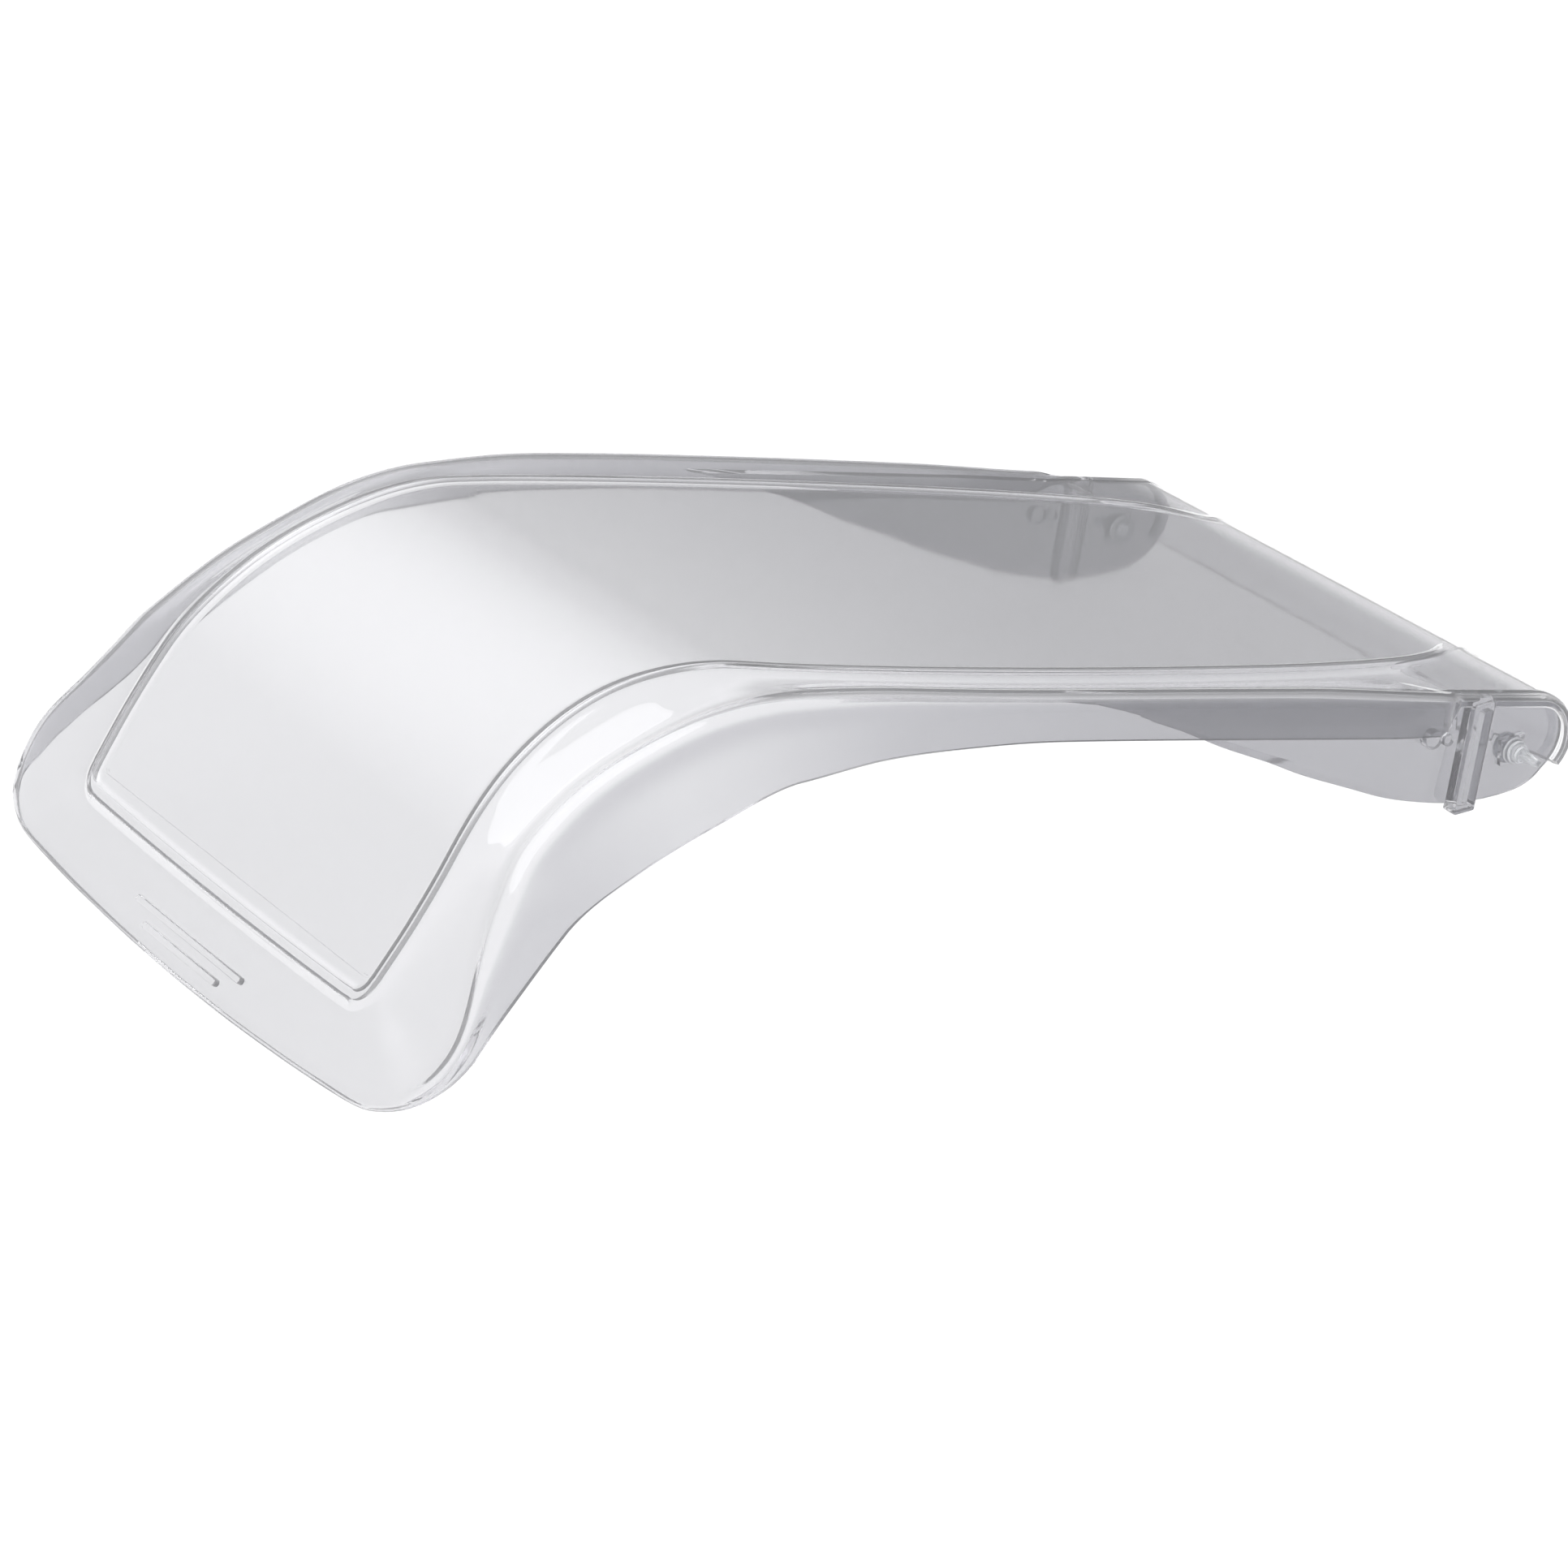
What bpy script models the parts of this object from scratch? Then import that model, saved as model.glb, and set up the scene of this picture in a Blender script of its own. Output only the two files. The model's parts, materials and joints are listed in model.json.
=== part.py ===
"""Clear hinged sneeze guard: a moulded polycarbonate hood that swings on two snap-in hinge pins.

Frame: the guard as it stands on its front lip and on the feet of its two side straps. X is the
width, with the mid-plane at X = 0. +Y runs from the front lip to the hinge. Z = 0 is the surface
it stands on. All driving sizes are in millimetres and turned into metres where meshes are made.
"""
import math

import bmesh
import bpy
import numpy as np

MM = 0.001

# ---- side profile of the top sheet: front slope, bend, rear slope, roll over the hinge, drop ----
LIP_POINT = (-286.9, 5.6)          # point of the sheet's outer face at the root of the lip (Y, Z)
FRONT_SLOPE = math.radians(52.12)  # rise of the front part
REAR_SLOPE = math.radians(13.18)   # fall of the rear part
FRONT_LENGTH = 98.8                # straight front part, along the sheet
BEND_RADIUS = 128.0
REAR_LENGTH = 377.3                # straight rear part, along the sheet
ROLL_RADIUS = 20.0
ROLL_PAST = math.radians(48)       # how far the roll turns past upright behind the hinge
WALL = 3.0                         # wall thickness of the moulding

# ---- plan of the raised panel and of the flange, as (distance along the sheet, half width) ----
PANEL_FRONT = 35.0
PANEL_BOW = 1.5
PANEL_CORNER = 9.0
RIM_HALF = ((35, 118), (70, 120), (100, 119), (141, 113), (184, 109), (217, 111), (271, 118),
            (347, 121), (428, 120), (514, 115), (571, 107), (600, 98), (622, 84), (662, 84))
FLANGE_HALF = ((40, 180), (70, 171), (97, 163), (118, 156), (160, 151), (200, 151), (250, 154),
               (313, 158), (405, 158), (500, 156), (572, 154))
LIP_OUTLINE = ((0, -4.4), (40, -3.9), (76, -2.6), (109, -0.8), (143, 2.2), (158, 6.5), (170, 14),
               (177, 25), (180, 40), (176.5, 55))
SKIRT_HALF = ((14, 170), (30, 176), (60, 172), (97, 164), (146, 165), (199, 167), (247, 165),
              (285, 162.5), (328, 160), (370, 158), (540, 156), (572, 155))
# ---- heights square to the sheet, as (distance along the sheet, height) ----
BEAD_HEIGHT = ((0, -1.5), (40, -3), (100, -3.6), (137, -7.0), (179, -9.0), (219, -5.5), (253, -1.0),
               (288, 1.8), (324, 2.4), (497, 2.6), (556, 1.0), (572, 0.7))
FOOT_HEIGHT = ((0, -1.2), (60, -1.4), (180, -1.6), (260, -1.8), (340, -2.2), (560, -2.2), (572, -1.8))
SKIRT_HEIGHT = ((-5, -3.0), (4, -3.6), (12, -5.6), (20, -9), (30, -13), (60, -20), (97, -31),
                (146, -39), (199, -38), (247, -29), (285, -21.5), (328, -18), (370, -16.5),
                (540, -16.5), (572, -16))
RIM_RISE = 1.4                     # rim crest above the panel
RIM_FADE = (596.0, 624.0)          # where the rim runs out into the rear sheet
REAR_HALF = 149.0                  # half width of the sheet behind the flange
REAR_HOOD = 5.0                    # depth of the down-turned edge behind the flange
FLANGE_END = 574.0

# ---- hinge cheeks, straps and pins ----
CHEEK_X = 141.0
CHEEK_WALL = 3.0
CHEEK_LOWER = ((62, 83.1), (89, 69.1), (109, 57), (134, 43.8), (150, 34.7), (175, 22.5), (192, 14.4),
               (209, 8.3), (226, 3.7), (241, 1.5), (254, 1.1), (263, 1.9), (270, 4.4), (275, 8.2))
STRAP_FOOT_Y = (222.2, 235.2)
STRAP_TOP_Y = (231.8, 245.6)
STRAP_TOP_Z = 49.6
STRAP_DEPTH = 7.0
STRAP_GROOVE = (6.6, 1.3)          # front and rear walls beside the strap's long groove
HINGE_Y = 257.3
HINGE_Z = 21.0
PAD_HALF = (8.6, 8.2)
PAD_RISE = 2.0
BORE_RADIUS = 3.6
PIN_RADIUS = 3.3
PIN_COLLAR_RADIUS = 4.9
PIN_HEAD_RADIUS = 6.2
PIN_TIP_X = 161.0
RING_RADIUS = 5.8
RING_WIDTH = 1.2
PIN_SIDES = 24
GAP = 0.3                          # clearance between separate pieces
CORNER_STEPS = 8                   # flange sections fanned round each front corner
PANEL_FRACTIONS = (0.8, 0.52, 0.26, 0.0, -0.26, -0.52, -0.8)

RIB_HALF = (45.0, 31.5)            # half lengths of the two grip ribs on the lip
RIB_POS = (12.0, 4.0)              # their distance along the sheet
BOSS_RADIUS = (4.2, 2.6)           # small round bosses under the rear ends of the flange
BOSS_POS = ((214.0, 36.6), (221.6, 34.6))


def smooth(table, s):
    """Smooth curve through the (position, value) pairs of a table, held constant beyond its ends."""
    xs = [p[0] for p in table]
    ys = [p[1] for p in table]
    if s <= xs[0]:
        return float(ys[0])
    if s >= xs[-1]:
        return float(ys[-1])
    i = max(k for k in range(len(xs) - 1) if xs[k] <= s)
    h = xs[i + 1] - xs[i]
    t = (s - xs[i]) / h

    def slope(k):
        if k == 0 or k == len(xs) - 1:
            return 0.0
        return (ys[k + 1] - ys[k - 1]) / (xs[k + 1] - xs[k - 1])

    a = 2 * t ** 3 - 3 * t ** 2 + 1
    b = t ** 3 - 2 * t ** 2 + t
    c = -2 * t ** 3 + 3 * t ** 2
    d = t ** 3 - t ** 2
    return a * ys[i] + b * h * slope(i) + c * ys[i + 1] + d * h * slope(i + 1)


def profile_lengths():
    """Distances along the sheet where its four stretches end."""
    s1 = FRONT_LENGTH
    s2 = s1 + BEND_RADIUS * (FRONT_SLOPE + REAR_SLOPE)
    s3 = s2 + REAR_LENGTH
    s4 = s3 + ROLL_RADIUS * (math.pi / 2 - REAR_SLOPE + ROLL_PAST)
    return s1, s2, s3, s4


def on_sheet(s, n):
    """Point (Y, Z) at distance s along the sheet and height n square to it."""
    s1, s2, s3, s4 = profile_lengths()
    y, z = LIP_POINT
    angle = FRONT_SLOPE
    first = min(s, s1)
    y += first * math.cos(angle)
    z += first * math.sin(angle)
    if s > s1:
        turn = min(s - s1, s2 - s1) / BEND_RADIUS
        y += BEND_RADIUS * (math.sin(angle) - math.sin(angle - turn))
        z += BEND_RADIUS * (math.cos(angle - turn) - math.cos(angle))
        angle -= turn
    if s > s2:
        run = min(s, s3) - s2
        y += run * math.cos(angle)
        z += run * math.sin(angle)
    if s > s3:
        turn = min(s - s3, s4 - s3) / ROLL_RADIUS
        y += ROLL_RADIUS * (math.sin(angle) - math.sin(angle - turn))
        z += ROLL_RADIUS * (math.cos(angle - turn) - math.cos(angle))
        angle -= turn
    return y - n * math.sin(angle), z + n * math.cos(angle)


def sheet_point(x, s, n):
    y, z = on_sheet(s, n)
    return (x * MM, y * MM, z * MM)


def outline_walk():
    """The lip's outer edge from the mid-plane round the corner: close points and their run length."""
    across = [(j, p[0]) for j, p in enumerate(LIP_OUTLINE)]
    along = [(j, p[1]) for j, p in enumerate(LIP_OUTLINE)]
    pts = []
    for i in range(len(LIP_OUTLINE) - 1):
        for k in range(8):
            pts.append((smooth(across, i + k / 8), smooth(along, i + k / 8)))
    pts.append(LIP_OUTLINE[-1])
    run = [0.0]
    for a, b in zip(pts, pts[1:]):
        run.append(run[-1] + math.dist(a, b))
    return pts, run


def outline_at(length):
    pts, run = outline_walk()
    x = float(np.interp(length, run, [p[0] for p in pts]))
    return x, float(np.interp(length, run, [p[1] for p in pts]))


def outline_length_at_x(x):
    pts, run = outline_walk()
    return float(np.interp(x, [p[0] for p in pts[:33]], run[:33]))


def rim_fade(s):
    """1 along the rim, falling to 0 where it runs out at the rear."""
    return 1.0 - smooth(((RIM_FADE[0], 0.0), (RIM_FADE[1], 1.0)), s)


def section(inner, outer, direction, s_in, s_out, skirt):
    """Points from the panel's edge over the rim, down to the flange and over its bead to the skirt's hem."""
    fade = rim_fade(s_in)
    bead = smooth(BEAD_HEIGHT, s_out)
    foot = smooth(FOOT_HEIGHT, s_in)
    if s_in > FLANGE_END:
        foot, bead = 0.0, 0.0
    dx, ds = direction
    pts = []
    for q, n in ((-5.0, 0.15), (-1.4, RIM_RISE), (1.4, RIM_RISE), (5.4, foot)):
        n_here = n * fade if q < 5 else n
        pts.append((inner[0] + dx * q, inner[1] + ds * q, n_here))
    start = pts[-1]
    depth = bead - skirt[2]
    turned = smooth(((2.0, 0.0), (11.0, 1.0)), depth)
    lip_edge = ((-9.0, 0.0), (-6.2, 0.1), (-3.6, 0.0), (-1.6, -0.5))
    skirt_edge = ((-7.6, -0.5), (-4.0, 0.1), (-1.2, -0.9), (0.0, -4.2))
    bead_pts = []
    for (q0, n0), (q1, n1) in zip(lip_edge, skirt_edge):
        q = q0 + (q1 - q0) * turned
        n = bead + n0 + (n1 - n0) * turned
        bead_pts.append((outer[0] + dx * q, outer[1] + ds * q, n))
    end = bead_pts[0]
    for f, sag in ((0.33, 0.8), (0.67, 0.6)):
        x = start[0] + (end[0] - start[0]) * f
        along = start[1] + (end[1] - start[1]) * f
        n = start[2] + (end[2] - start[2]) * f - (sag * turned if s_in < FLANGE_END else 0.0)
        pts.append((x, along, n))
    pts += bead_pts
    pts.append(skirt)
    return pts, inner_points(pts, direction)


def inner_points(pts, way):
    """The section's inner face: every point set back by the wall, mitred where the section bends."""
    flat = [(0.0, pts[0][2])]
    for a, b in zip(pts, pts[1:]):
        flat.append((flat[-1][0] + (b[0] - a[0]) * way[0] + (b[1] - a[1]) * way[1], b[2]))
    angles = [math.atan2(b[1] - a[1], b[0] - a[0]) for a, b in zip(flat, flat[1:])]
    out = []
    for k, p in enumerate(pts):
        before = 0.0 if k == 0 else angles[k - 1]
        after = angles[min(k, len(angles) - 1)]
        mean = (before + after) / 2
        back = WALL / math.cos((after - before) / 2)
        shift = back * math.sin(mean)
        out.append((p[0] + way[0] * shift, p[1] + way[1] * shift, p[2] - back * math.cos(mean)))
    return out


def side_section(s):
    rim = smooth(RIM_HALF, s)
    if s < FLANGE_END:
        half = smooth(FLANGE_HALF, s)
        hem = (smooth(SKIRT_HALF, s), s, smooth(SKIRT_HEIGHT, s))
    else:
        half = REAR_HALF
        hem = (REAR_HALF, s, -REAR_HOOD)
    return section((rim, s), (half, s), (1.0, 0.0), s, s, hem)


def side_stations():
    """Distances along the sheet of the flange's side sections, front to rear."""
    s1, s2, s3, s4 = profile_lengths()
    bend = list(np.linspace(s1, s2, 11))
    flat = [262, 285, 310, 347, 400, 450, 500, 540, 566, 578, 590, 600, 612]
    return [52, 66, 82] + bend + flat + list(np.linspace(s3, s4, 9))


def lip_section(inner, outer, d):
    """Section of the flange at the front or at a corner, where it fans out from the panel."""
    vx, vs = outer[0] - inner[0], outer[1] - inner[1]
    size = math.hypot(vx, vs)
    mix = (d[0] + vx / size, d[1] + vs / size)
    size = math.hypot(*mix)
    way = (mix[0] / size, mix[1] / size)
    lean = smooth(((5, 0.0), (40, 4.0)), outer[1])
    hem = (outer[0] - way[0] * lean, outer[1] - way[1] * lean, smooth(SKIRT_HEIGHT, outer[1]))
    return section(inner, outer, way, inner[1], outer[1], hem)


def ring_sections():
    """Flange sections of the right half, from the rear end round the corner to the mid-plane."""
    sections = [side_section(s) for s in reversed(side_stations())]
    rim_half = smooth(RIM_HALF, PANEL_FRONT)
    centre = (rim_half - PANEL_CORNER, PANEL_FRONT + PANEL_CORNER)
    pts, run = outline_walk()
    length_side = float(np.interp(40.0, [p[1] for p in pts], run))
    length_front = outline_length_at_x(112.0)
    for j in range(CORNER_STEPS + 1):
        turn = math.radians(90 * j / CORNER_STEPS)
        d = (math.cos(turn), -math.sin(turn))
        inner = (centre[0] + PANEL_CORNER * d[0], centre[1] + PANEL_CORNER * d[1])
        outer = outline_at(length_side + (length_front - length_side) * j / CORNER_STEPS)
        sections.append(lip_section(inner, outer, d))
    for x in (85, 60, 30, 0):
        s_in = PANEL_FRONT - PANEL_BOW * (1 - (x / rim_half) ** 2)
        sections.append(lip_section((x, s_in), outline_at(outline_length_at_x(x * 1.09)), (0.0, -1.0)))
    return sections


def panel_rows(bm, edge, sections, n_side):
    """Rows of vertices across the panel, rear to front, each from one side edge to the other."""
    rows = []
    for i in range(n_side):
        x, s, n = sections[i][0]
        inner = [bm.verts.new(sheet_point(x * f, s, n)) for f in PANEL_FRACTIONS]
        rows.append([edge[i]] + inner + [edge[-1 - i]])
    return rows


def fill_front(bm, edge, last, n_side):
    """Closes the panel's front row onto the step line and the rounded corners."""
    front = edge[n_side - 1:len(edge) - n_side + 1]
    lead = (len(front) - len(last)) // 2
    for k in range(len(front) - 1):
        i0 = min(max(k - lead, 0), len(last) - 1)
        i1 = min(max(k + 1 - lead, 0), len(last) - 1)
        corners = []
        for v in (front[k], front[k + 1], last[i1], last[i0]):
            if v not in corners:
                corners.append(v)
        if len(corners) > 2:
            bm.faces.new(corners)


def sheet_layer(bm, sections):
    """One face of the sheet: the flange ring round three sides and the panel inside it."""
    ring = [[bm.verts.new(sheet_point(*p)) for p in sec] for sec in sections]
    n_side = len(side_stations())
    edge = [sec[0] for sec in ring]
    rows = panel_rows(bm, edge, sections, n_side)
    for strip in (ring, rows):
        for a, b in zip(strip, strip[1:]):
            for k in range(len(a) - 1):
                bm.faces.new((a[k], a[k + 1], b[k + 1], b[k]))
    fill_front(bm, edge, rows[-1], n_side)
    hem = [sec[-1] for sec in ring]
    rear = list(reversed(ring[0][1:])) + rows[0] + ring[-1][1:]
    return hem, rear


def shell_solid():
    """The hood's sheet as a closed wall."""
    bm = bmesh.new()
    half = ring_sections()
    borders = []
    for layer in (0, 1):
        right = [sec[layer] for sec in half]
        full = right + [[(-x, s, n) for x, s, n in sec] for sec in reversed(right[:-1])]
        borders.append(sheet_layer(bm, full))
    for outer, inner in zip(borders[0], borders[1]):
        for k in range(len(outer) - 1):
            bm.faces.new((outer[k], outer[k + 1], inner[k + 1], inner[k]))
    return bm


def new_object(name, bm):
    """Object from a closed mesh, with its faces turned outwards."""
    bmesh.ops.recalc_face_normals(bm, faces=bm.faces)
    if bm.calc_volume(signed=True) < 0:
        bmesh.ops.reverse_faces(bm, faces=bm.faces)
    mesh = bpy.data.meshes.new(name)
    bm.to_mesh(mesh)
    bm.free()
    obj = bpy.data.objects.new(name, mesh)
    bpy.context.scene.collection.objects.link(obj)
    return obj


def material(name, colour, roughness, metallic=0.0, alpha=1.0):
    mat = bpy.data.materials.new(name)
    mat.use_nodes = True
    shader = mat.node_tree.nodes["Principled BSDF"]
    shader.inputs["Base Color"].default_value = (*colour, 1.0)
    shader.inputs["Roughness"].default_value = roughness
    shader.inputs["Metallic"].default_value = metallic
    shader.inputs["Alpha"].default_value = alpha
    return mat


def prism_x(bm, outline, x0, x1):
    """Solid between two X planes from a (Y, Z) outline."""
    near = [bm.verts.new((x0 * MM, y * MM, z * MM)) for y, z in outline]
    far = [bm.verts.new((x1 * MM, y * MM, z * MM)) for y, z in outline]
    bm.faces.new(near)
    bm.faces.new(list(reversed(far)))
    count = len(outline)
    for i in range(count):
        j = (i + 1) % count
        bm.faces.new((near[j], near[i], far[i], far[j]))


def cheek_outline():
    """Side cheek: its top runs inside the sheet's wall, its lower edge sweeps down to a round heel."""
    _, _, s3, s4 = profile_lengths()
    top_stations = [372, 410, 450, 490, 530, 570, 600] + list(np.linspace(s3, s4 - 1.5, 9))
    top = [on_sheet(s, -2.0) for s in top_stations]
    return list(reversed(top)) + list(CHEEK_LOWER)


def cheek(side):
    bm = bmesh.new()
    x0 = side * (CHEEK_X - CHEEK_WALL / 2)
    x1 = side * (CHEEK_X + CHEEK_WALL / 2)
    prism_x(bm, cheek_outline(), x0, x1)
    return new_object("cheek", bm)


def strap(side):
    """Upright strap on the outside of a cheek, with a long groove down its face and a rounded foot."""
    x0 = CHEEK_X + CHEEK_WALL / 2 - 1.0
    x1 = CHEEK_X + CHEEK_WALL / 2 + STRAP_DEPTH
    y0, y1 = STRAP_FOOT_Y
    y2, y3 = STRAP_TOP_Y
    slant = (y2 - y0) / STRAP_TOP_Z
    r = 2.5
    body = [(y0 + r, 0.0), (y1 - r, 0.0), (y1, r), (y3, STRAP_TOP_Z), (y2, STRAP_TOP_Z), (y0, r)]
    bm = bmesh.new()
    prism_x(bm, body, side * x0, side * x1)
    obj = new_object("strap", bm)
    w0, w1 = STRAP_GROOVE
    z0 = 4.0
    z1 = STRAP_TOP_Z - 5.0
    low_y, high_y = slant * z0, slant * z1
    pocket = [(y0 + w0 + low_y, z0), (y1 - w1 + low_y, z0), (y1 - w1 + high_y, z1), (y0 + w0 + high_y, z1)]
    bm = bmesh.new()
    prism_x(bm, pocket, side * (x0 + 2.5), side * (x1 + 2.0))
    return obj, new_object("pocket", bm)


def pad(side):
    """Raised rounded-square pad round the hinge bore."""
    hy, hz = PAD_HALF
    r = 3.0
    outline = []
    for k in range(16):
        turn = math.radians(360 * k / 16 + 11.25)
        cy, cz = math.cos(turn), math.sin(turn)
        sy, sz = math.copysign(hy - r, cy), math.copysign(hz - r, cz)
        outline.append((HINGE_Y + sy + r * cy, HINGE_Z + sz + r * cz))
    x0 = side * (CHEEK_X + CHEEK_WALL / 2 - 1.0)
    x1 = side * (CHEEK_X + CHEEK_WALL / 2 + PAD_RISE)
    bm = bmesh.new()
    prism_x(bm, outline, x0, x1)
    return new_object("pad", bm)


def disc_outline(y, z, radius, count):
    turns = [2 * math.pi * k / count for k in range(count)]
    return [(y + radius * math.cos(turn), z + radius * math.sin(turn)) for turn in turns]


def boss(side, index):
    y, z = BOSS_POS[index]
    bm = bmesh.new()
    outline = disc_outline(y, z, BOSS_RADIUS[index], 16)
    prism_x(bm, outline, side * (CHEEK_X + 0.5), side * (CHEEK_X + CHEEK_WALL / 2 + 4.5))
    return new_object("boss", bm)


def grip_rib(index):
    """Low rounded bar across the lip."""
    half, s = RIB_HALF[index], RIB_POS[index]
    bm = bmesh.new()
    low = []
    high = []
    for k in range(12):
        turn = 2 * math.pi * (k + 0.5) / 12
        x = math.copysign(half - 1.5, math.cos(turn)) + 1.5 * math.cos(turn)
        low.append(bm.verts.new(sheet_point(x, s + 1.5 * math.sin(turn), -3.0)))
        high.append(bm.verts.new(sheet_point(x, s + 1.5 * math.sin(turn), 0.6)))
    bm.faces.new(low)
    bm.faces.new(list(reversed(high)))
    for i in range(12):
        j = (i + 1) % 12
        bm.faces.new((low[j], low[i], high[i], high[j]))
    return new_object("rib", bm)


def bore_cutter(side):
    bm = bmesh.new()
    outline = disc_outline(HINGE_Y, HINGE_Z, BORE_RADIUS, PIN_SIDES)
    prism_x(bm, outline, side * (CHEEK_X - 10), side * (CHEEK_X + 10))
    return new_object("bore", bm)


def combine(base, parts, operation):
    """Joins or cuts every part into the base object's mesh and removes the part."""
    for part in parts:
        mod = base.modifiers.new(operation.lower(), "BOOLEAN")
        mod.operation = operation
        mod.solver = "EXACT"
        mod.object = part
        bpy.context.view_layer.update()
        done = bpy.data.meshes.new_from_object(base.evaluated_get(bpy.context.evaluated_depsgraph_get()))
        base.modifiers.clear()
        base.data = done
        bpy.data.objects.remove(part)


def build_guard_shell():
    """The whole moulding: sheet, rim, flange, skirts, lip ribs, cheeks, straps, pads and hinge bores."""
    obj = new_object("guard_shell", shell_solid())
    added, cuts = [], []
    for side in (1, -1):
        body, pocket = strap(side)
        added += [cheek(side), body, pad(side), boss(side, 0), boss(side, 1)]
        cuts += [pocket, bore_cutter(side)]
    added += [grip_rib(0), grip_rib(1)]
    combine(obj, added, "UNION")
    combine(obj, cuts, "DIFFERENCE")
    obj.name = "guard_shell"
    obj.data.name = "guard_shell"
    obj.data.materials.clear()
    obj.data.materials.append(material("clear_polycarbonate", (0.86, 0.88, 0.90), 0.06, 0.0, 0.35))
    return obj


def turned_x(bm, steps, sides, side):
    """Turned solid about the hinge line from (X, radius) steps, closed at both ends."""
    rings = []
    for x, radius in steps:
        outline = disc_outline(HINGE_Y, HINGE_Z, radius, sides)
        rings.append([bm.verts.new((side * x * MM, y * MM, z * MM)) for y, z in outline])
    bm.faces.new(rings[0])
    bm.faces.new(list(reversed(rings[-1])))
    for a, b in zip(rings, rings[1:]):
        for k in range(sides):
            j = (k + 1) % sides
            bm.faces.new((a[j], a[k], b[k], b[j]))


def cross_tip(side, x0, x1):
    """Tapered cross-shaped end of a pin, with a small flat at its end."""
    bm = bmesh.new()
    rings = []
    for x, reach, half in ((x0, 3.1, 0.9), (x1 - 5.0, 2.8, 0.9), (x1, 1.6, 0.7)):
        outline = [(reach, -half), (reach, half), (half, half), (half, reach), (-half, reach),
                   (-half, half), (-reach, half), (-reach, -half), (-half, -half), (-half, -reach),
                   (half, -reach), (half, -half)]
        rings.append([bm.verts.new((side * x * MM, (HINGE_Y + y) * MM, (HINGE_Z + z) * MM))
                      for y, z in outline])
    bm.faces.new(rings[0])
    bm.faces.new(list(reversed(rings[-1])))
    for a, b in zip(rings, rings[1:]):
        for k in range(12):
            j = (k + 1) % 12
            bm.faces.new((a[j], a[k], b[k], b[j]))
    return new_object("tip", bm)


def build_hinge_pin(name, side):
    """Headed snap-in pin: head inside the cheek, barrel in the bore, stepped collar, cross-shaped tip."""
    inside = CHEEK_X - CHEEK_WALL / 2 - GAP
    outside = CHEEK_X + CHEEK_WALL / 2 + PAD_RISE
    ring_end = outside + 2 * GAP + RING_WIDTH
    steps = ((inside - 2.6, PIN_HEAD_RADIUS - 0.6), (inside - 2.0, PIN_HEAD_RADIUS),
             (inside, PIN_HEAD_RADIUS), (inside, PIN_RADIUS), (ring_end + GAP, PIN_RADIUS),
             (ring_end + GAP, PIN_COLLAR_RADIUS), (ring_end + 1.8, PIN_COLLAR_RADIUS),
             (ring_end + 1.8, PIN_RADIUS + 0.7), (ring_end + 3.6, PIN_RADIUS + 0.7),
             (ring_end + 3.6, PIN_RADIUS), (ring_end + 5.0, PIN_RADIUS))
    bm = bmesh.new()
    turned_x(bm, steps, PIN_SIDES, side)
    obj = new_object(name, bm)
    combine(obj, [cross_tip(side, ring_end + 4.0, PIN_TIP_X)], "UNION")
    obj.data.name = name
    obj.data.materials.clear()
    obj.data.materials.append(material(name + "_plastic", (0.80, 0.82, 0.84), 0.15, 0.0, 0.5))
    return obj


def build_pin_ring(name, side):
    """Flat ring between the pad and the pin's collar."""
    outside = CHEEK_X + CHEEK_WALL / 2 + PAD_RISE + GAP
    x0, x1 = outside, outside + RING_WIDTH
    bm = bmesh.new()
    loops = []
    for x, radius in ((x0, PIN_RADIUS + GAP), (x0, RING_RADIUS), (x1, RING_RADIUS), (x1, PIN_RADIUS + GAP)):
        outline = disc_outline(HINGE_Y, HINGE_Z, radius, PIN_SIDES)
        loops.append([bm.verts.new((side * x * MM, y * MM, z * MM)) for y, z in outline])
    for i in range(4):
        a, b = loops[i], loops[(i + 1) % 4]
        for k in range(PIN_SIDES):
            j = (k + 1) % PIN_SIDES
            bm.faces.new((a[j], a[k], b[k], b[j]))
    obj = new_object(name, bm)
    obj.data.materials.append(material(name + "_nylon", (0.72, 0.74, 0.76), 0.35, 0.0, 0.6))
    return obj


def main():
    for obj in list(bpy.data.objects):
        bpy.data.objects.remove(obj)
    build_guard_shell()
    for word, side in (("right", 1), ("left", -1)):
        build_hinge_pin("hinge_pin_" + word, side)
        build_pin_ring("pin_ring_" + word, side)


main()
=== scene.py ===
import json
import math

import bmesh
import bpy
import numpy as np
from mathutils import Matrix, Vector


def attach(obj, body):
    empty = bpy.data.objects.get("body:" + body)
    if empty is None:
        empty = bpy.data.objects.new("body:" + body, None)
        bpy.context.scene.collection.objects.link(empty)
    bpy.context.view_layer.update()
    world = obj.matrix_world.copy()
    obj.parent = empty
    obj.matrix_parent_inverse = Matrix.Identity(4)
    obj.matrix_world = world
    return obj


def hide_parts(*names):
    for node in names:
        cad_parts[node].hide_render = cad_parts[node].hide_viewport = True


bl_info = {
    "name": "Hinged sneeze guard",
    "version": (1, 0, 0),
    "blender": (4, 5, 0),
    "location": "View3D > Sidebar > Guard",
    "description": "Builds the visual pieces of a clear hinged sneeze guard around its packed frame",
    "category": "Object",
}

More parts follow.
